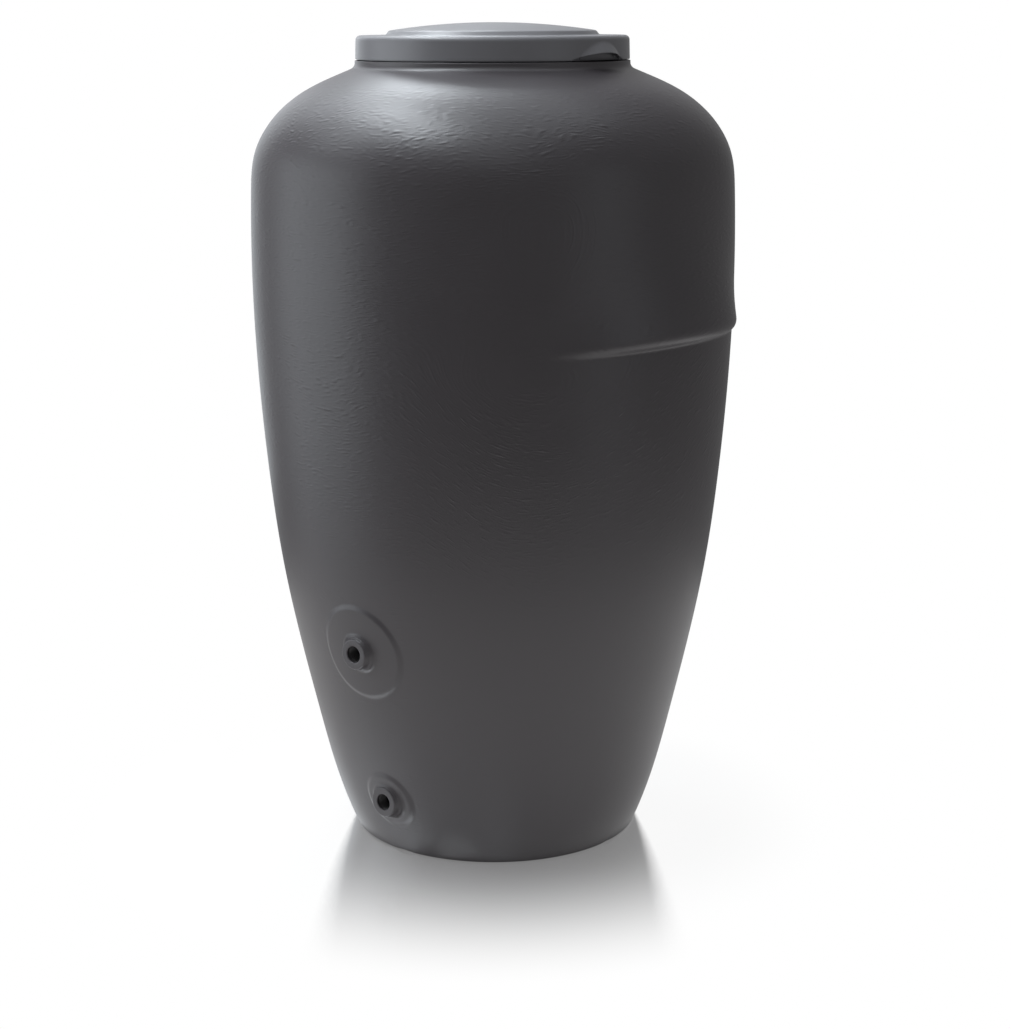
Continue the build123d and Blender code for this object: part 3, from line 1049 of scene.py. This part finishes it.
def clouded(n, place, scale, detail, colour, spread, roughness):
    """Colour and roughness that both wander a little with one slow noise."""
    cloud = n.add("TexNoise", {"Vector": place}, {"Scale": scale, "Detail": detail})
    mix = n.add(
        "Mix",
        {"Factor": cloud.outputs["Fac"]},
        {MIX_COLOUR_A: shade(colour, 1 - spread), MIX_COLOUR_B: shade(colour, 1 + spread)},
        data_type="RGBA",
    )
    rough = n.add(
        "MapRange",
        {"Value": cloud.outputs["Fac"]},
        {"To Min": roughness - 0.04, "To Max": roughness + 0.04},
    )
    return mix.outputs[MIX_COLOUR_OUT], rough


def finish_plastic(n, colour, rough, normal, ior):
    shader = n.add(
        "BsdfPrincipled", {"Base Color": colour, "Roughness": rough, "Normal": normal}, {"IOR": ior}
    )
    n.add("OutputMaterial", {"Surface": shader})


def blow_moulded_polyethylene(settings):
    """High-density polyethylene blown into a mould with a leather grain.

    The eye gets a satin anthracite skin with fine creases that run round the barrel and drift off level in
    places, and a faint unevenness of the blown wall."""
    material, n = new_material("polyethylene_blow_moulded_leather_grain")
    place = n.add("TexCoord").outputs["Object"]
    grain = n.add("Attribute", attribute_name="grain")
    # slow drift that tilts the creases, one swing in about 250 mm
    drift = n.add("TexNoise", {"Vector": place}, {"Scale": 4.0, "Detail": 1.5})
    centred = n.add("VectorMath", {0: drift.outputs["Color"]}, {1: HALF}, operation="SUBTRACT")
    pushed = n.add("VectorMath", {0: centred}, {1: CREASE_DRIFT}, operation="MULTIPLY")
    warped = n.add("VectorMath", {0: place, 1: pushed}, operation="ADD")
    creases = leather_grain(n, place, warped)
    # patches where the grain printed well and where the wall stood off the mould
    patches = n.add("TexNoise", {"Vector": place}, {"Scale": 6.0, "Detail": 2.0})
    printed = n.add(
        "MapRange", {"Value": patches.outputs["Fac"]}, {"From Min": 0.40, "From Max": 0.64, "To Min": 0.72}
    )
    depth = n.add("Math", {0: printed, 1: grain.outputs["Fac"]}, operation="MULTIPLY")
    height = n.add("Math", {0: creases, 1: depth}, operation="MULTIPLY")
    bump = n.add("Bump", {"Height": height}, {"Strength": 1.0, "Distance": settings.grain_depth})
    # fine matt of the blasted mould, about a millimetre
    matt = n.add("TexNoise", {"Vector": place}, {"Scale": 900.0, "Detail": 2.0})
    fine = n.add(
        "Bump", {"Height": matt.outputs["Fac"], "Normal": bump}, {"Strength": 0.25, "Distance": 0.0001}
    )
    colour, rough = clouded(n, place, 9.0, 4.0, settings.colour, 0.10, 0.42)
    finish_plastic(n, colour, rough, fine, 1.54)
    return material


def moulded_plastic(name, colour, roughness, ior, speckle_size):
    """Injection-moulded plastic.

    The eye gets an even colour, a fine spark-eroded matt and a faint cloudiness in the gloss."""
    material, n = new_material(name)
    place = n.add("TexCoord").outputs["Object"]
    speckle = n.add("TexNoise", {"Vector": place}, {"Scale": 1 / speckle_size, "Detail": 3.0})
    bump = n.add("Bump", {"Height": speckle.outputs["Fac"]}, {"Strength": 0.35, "Distance": 0.00012})
    colour, rough = clouded(n, place, 14.0, 3.0, colour, 0.07, roughness)
    finish_plastic(n, colour, rough, bump, ior)
    return material


def polished_white_floor(settings):
    """White acrylic sheet, polished and lit from below.

    The eye gets a mirror image, a little blurred, close to the foot, and plain white further off."""
    material, n = new_material("acrylic_sheet_polished_white")
    place = n.add("TexCoord").outputs["Object"]
    far = n.add("VectorMath", {0: place}, operation="LENGTH").outputs["Value"]
    gloss = n.add(
        "MapRange",
        {"Value": far},
        {"From Min": FOOT_R, "From Max": FLOOR_PLAIN_R, "To Min": settings.floor_gloss, "To Max": 0.0},
        **SMOOTH,
    )
    lit = n.add(
        "MapRange",
        {"Value": far},
        {"From Min": FOOT_R, "From Max": FLOOR_LIT_R, "To Min": settings.floor_glow},
        **SMOOTH,
    )
    # tiny ripples of the sheet blur what it mirrors
    ripple = n.add("TexWhiteNoise", {"Vector": place})
    slope = n.add("VectorMath", {0: ripple.outputs["Color"]}, {1: HALF}, operation="SUBTRACT")
    tipped = n.add(
        "VectorMath",
        {0: slope},
        {1: (FLOOR_RIPPLE, FLOOR_RIPPLE, 0.0), 2: (0, 0, 1)},
        operation="MULTIPLY_ADD",
    )
    plain = n.add("BsdfDiffuse", values={"Color": [*settings.floor_colour, 1.0]})
    glow = n.add("Emission", values={"Color": WHITE, "Strength": 1.0})
    sheet = n.add("MixShader", {"Fac": lit, 1: plain, 2: glow})
    mirror = n.add("BsdfGlossy", {"Normal": tipped}, {"Color": WHITE, "Roughness": 0.0})
    whole = n.add("MixShader", {"Fac": gloss, 1: sheet, 2: mirror})
    n.add("OutputMaterial", {"Surface": whole})
    return material


# ---------------------------------------------------------------- stage


def from_camera(turn, distance, height):
    """A place at an angle from the camera's own direction, positive to the camera's right."""
    angle = CAMERA_TURN + math.radians(turn)
    return Vector((distance * math.sin(angle), -distance * math.cos(angle), height))


def add_light(name, place, target, width, tall, power, colour=(1, 1, 1)):
    data = bpy.data.lights.new(name, "AREA")
    data.shape = "RECTANGLE"
    data.size = width
    data.size_y = tall
    data.energy = power
    data.color = colour
    light = bpy.data.objects.new(name, data)
    light.location = place
    light.rotation_euler = (Vector(target) - place).to_track_quat("-Z", "Y").to_euler()
    light.visible_camera = False
    bpy.context.scene.collection.objects.link(light)
    return light


def make_floor(settings):
    moulding = Moulding()
    angles = np.linspace(0, 2 * math.pi, 96, endpoint=False)
    rings = [moulding.round(r, angles, 0.0) for r in (FLOOR_R, 0.8, 0.4, 0.1)]
    chain(moulding, rings)
    moulding.close(rings[-1], 0.0, False)
    mesh = bpy.data.meshes.new("studio_floor")
    mesh.from_pydata(np.vstack(moulding.places).tolist(), [], moulding.faces)
    floor = bpy.data.objects.new("studio_floor", mesh)
    bpy.context.scene.collection.objects.link(floor)
    give(floor, polished_white_floor(settings))


def light_room():
    """White to look at. What it throws on the barrel is dim, and brighter low behind it."""
    world = bpy.data.worlds.new("studio_room")
    bpy.context.scene.world = world
    n = Nodes(world)
    way = n.add("TexCoord").outputs["Generated"]
    level = math.cos(BACKDROP_HEIGHT)
    middle = (-math.sin(CAMERA_TURN) * level, math.cos(CAMERA_TURN) * level, math.sin(BACKDROP_HEIGHT))
    back = n.add("VectorMath", {0: way}, {1: middle}, operation="DOT_PRODUCT")
    glow = n.add(
        "MapRange",
        {"Value": back.outputs["Value"]},
        {
            "From Min": math.cos(BACKDROP_OUTER),
            "From Max": math.cos(BACKDROP_INNER),
            "To Min": ROOM_GLOW,
            "To Max": BACKDROP_GLOW,
        },
        **SMOOTH,
    )
    dim = n.add("Background", {"Strength": glow}, {"Color": WHITE})
    bright = n.add("Background", values={"Color": WHITE, "Strength": 1.0})
    # seen straight or in the polished floor
    path = n.add("LightPath").outputs
    rays = {0: path["Is Camera Ray"], 1: path["Is Singular Ray"]}
    seen = n.add("Math", rays, operation="MAXIMUM")
    both = n.add("MixShader", {"Fac": seen, 1: dim, 2: bright})
    n.add("OutputWorld", {"Surface": both})


def make_camera(settings):
    data = bpy.data.cameras.new("studio_camera")
    data.lens = settings.lens
    data.sensor_width = 36.0
    camera = bpy.data.objects.new("studio_camera", data)
    place = Vector((math.sin(CAMERA_TURN), -math.cos(CAMERA_TURN), 0)) * settings.distance
    place.z = settings.height
    turned = Matrix.Rotation(CAMERA_TURN - CAMERA_YAW, 4, "Z")
    tipped = Matrix.Rotation(math.pi / 2 - CAMERA_PITCH, 4, "X")
    rolled = Matrix.Rotation(CAMERA_ROLL, 4, "Z")
    camera.matrix_world = Matrix.Translation(place) @ turned @ tipped @ rolled
    bpy.context.scene.collection.objects.link(camera)
    bpy.context.scene.camera = camera


# ---------------------------------------------------------------- operators


class BARREL_OT_stage(bpy.types.Operator):
    """Make the floor, the room, the lights and the camera"""

    bl_idname = "barrel.stage"
    bl_label = "Studio"

    def execute(self, context):
        settings = context.scene.barrel_stage
        context.scene.view_settings.view_transform = "Standard"
        make_floor(settings)
        light_room()
        for name, turn, distance, height, aim, width, tall, power in LIGHTS:
            place = from_camera(turn, distance, height)
            add_light(name, place, (0, 0, aim), width, tall, power * settings.light_level, LIGHT_TINT)
        make_camera(settings)
        return {"FINISHED"}


class BARREL_OT_vessel(bpy.types.Operator):
    """Make the vessel with its ledges, neck and the two outlets"""

    bl_idname = "barrel.vessel"
    bl_label = "Vessel"

    def execute(self, context):
        settings = context.scene.barrel_vessel
        moulding = build_vessel(settings, context.scene.barrel_outlets)
        piece = moulding.make("vessel", "barrel_shell", "barrel", "barrel_shell")
        give(piece, blow_moulded_polyethylene(settings))
        return {"FINISHED"}


class BARREL_OT_bushes(bpy.types.Operator):
    """Make the threaded bush of each tap outlet"""

    bl_idname = "barrel.bushes"
    bl_label = "Outlet bushes"

    def execute(self, context):
        settings = context.scene.barrel_vessel
        shape = VesselShape(settings)
        # glass-filled nylon looks a shade blacker and drier than the vessel
        colour = context.scene.barrel_outlets.bush_colour
        material = moulded_plastic("nylon_glass_filled_moulded", colour, 0.40, 1.53, 0.0006)
        for name, tap in TAPS.items():
            moulding = bush_moulding(tap, shape, settings)
            piece = moulding.make(f"{name}_outlet_bush", "tap_bush", "barrel", f"{name}_tap_bush")
            give(piece, material)
        return {"FINISHED"}


class BARREL_OT_seal(bpy.types.Operator):
    """Make the rubber seal that lies on the rim"""

    bl_idname = "barrel.seal"
    bl_label = "Seal"

    def execute(self, context):
        piece = seal_moulding().make("mouth_seal", "lid_seal", "seal", "lid_seal")
        # rubber cut from sheet: very dark, soft sheen with no sharp highlight
        colour = context.scene.barrel_lid.seal_colour
        give(piece, moulded_plastic("rubber_epdm_moulded", colour, 0.62, 1.52, 0.0008))
        return {"FINISHED"}


class BARREL_OT_lid(bpy.types.Operator):
    """Make the lid with its crown, skirt, finger hoods and bayonet lugs"""

    bl_idname = "barrel.lid"
    bl_label = "Lid"

    def execute(self, context):
        settings = context.scene.barrel_lid
        piece = build_lid(settings).make("screw_lid", "lid", "lid", "lid")
        # polypropylene from a spark-eroded mould: smoother and a touch lighter than the vessel
        material = moulded_plastic("polypropylene_moulded_fine_matt", settings.colour, 0.40, 1.50, 0.0007)
        give(piece, material)
        return {"FINISHED"}


class BARREL_PT_panel(bpy.types.Panel):
    bl_idname = "BARREL_PT_panel"
    bl_label = "Rain barrel"
    bl_space_type = "VIEW_3D"
    bl_region_type = "UI"
    bl_category = "Rain barrel"

    def draw(self, context):
        for group, operator in (
            ("barrel_vessel", "barrel.vessel"),
            ("barrel_outlets", "barrel.bushes"),
            ("barrel_lid", "barrel.lid"),
            ("barrel_stage", "barrel.stage"),
        ):
            settings = getattr(context.scene, group)
            box = self.layout.box()
            for name in settings.__annotations__:
                box.prop(settings, name)
            box.operator(operator)
        self.layout.operator("barrel.seal")


SETTINGS = {
    "barrel_vessel": VesselSettings,
    "barrel_outlets": OutletSettings,
    "barrel_lid": LidSettings,
    "barrel_stage": StageSettings,
}
OPERATORS = (BARREL_OT_stage, BARREL_OT_vessel, BARREL_OT_bushes, BARREL_OT_seal, BARREL_OT_lid)


def register():
    for kind in (*SETTINGS.values(), *OPERATORS, BARREL_PT_panel):
        bpy.utils.register_class(kind)
    for name, group in SETTINGS.items():
        setattr(bpy.types.Scene, name, bpy.props.PointerProperty(type=group))


def unregister():
    for name in SETTINGS:
        delattr(bpy.types.Scene, name)
    for kind in reversed((*SETTINGS.values(), *OPERATORS, BARREL_PT_panel)):
        bpy.utils.unregister_class(kind)


def main():
    register()
    bpy.ops.barrel.stage()
    bpy.ops.barrel.vessel()
    bpy.ops.barrel.bushes()
    bpy.ops.barrel.seal()
    bpy.ops.barrel.lid()


if __name__ == "__main__":
    main()
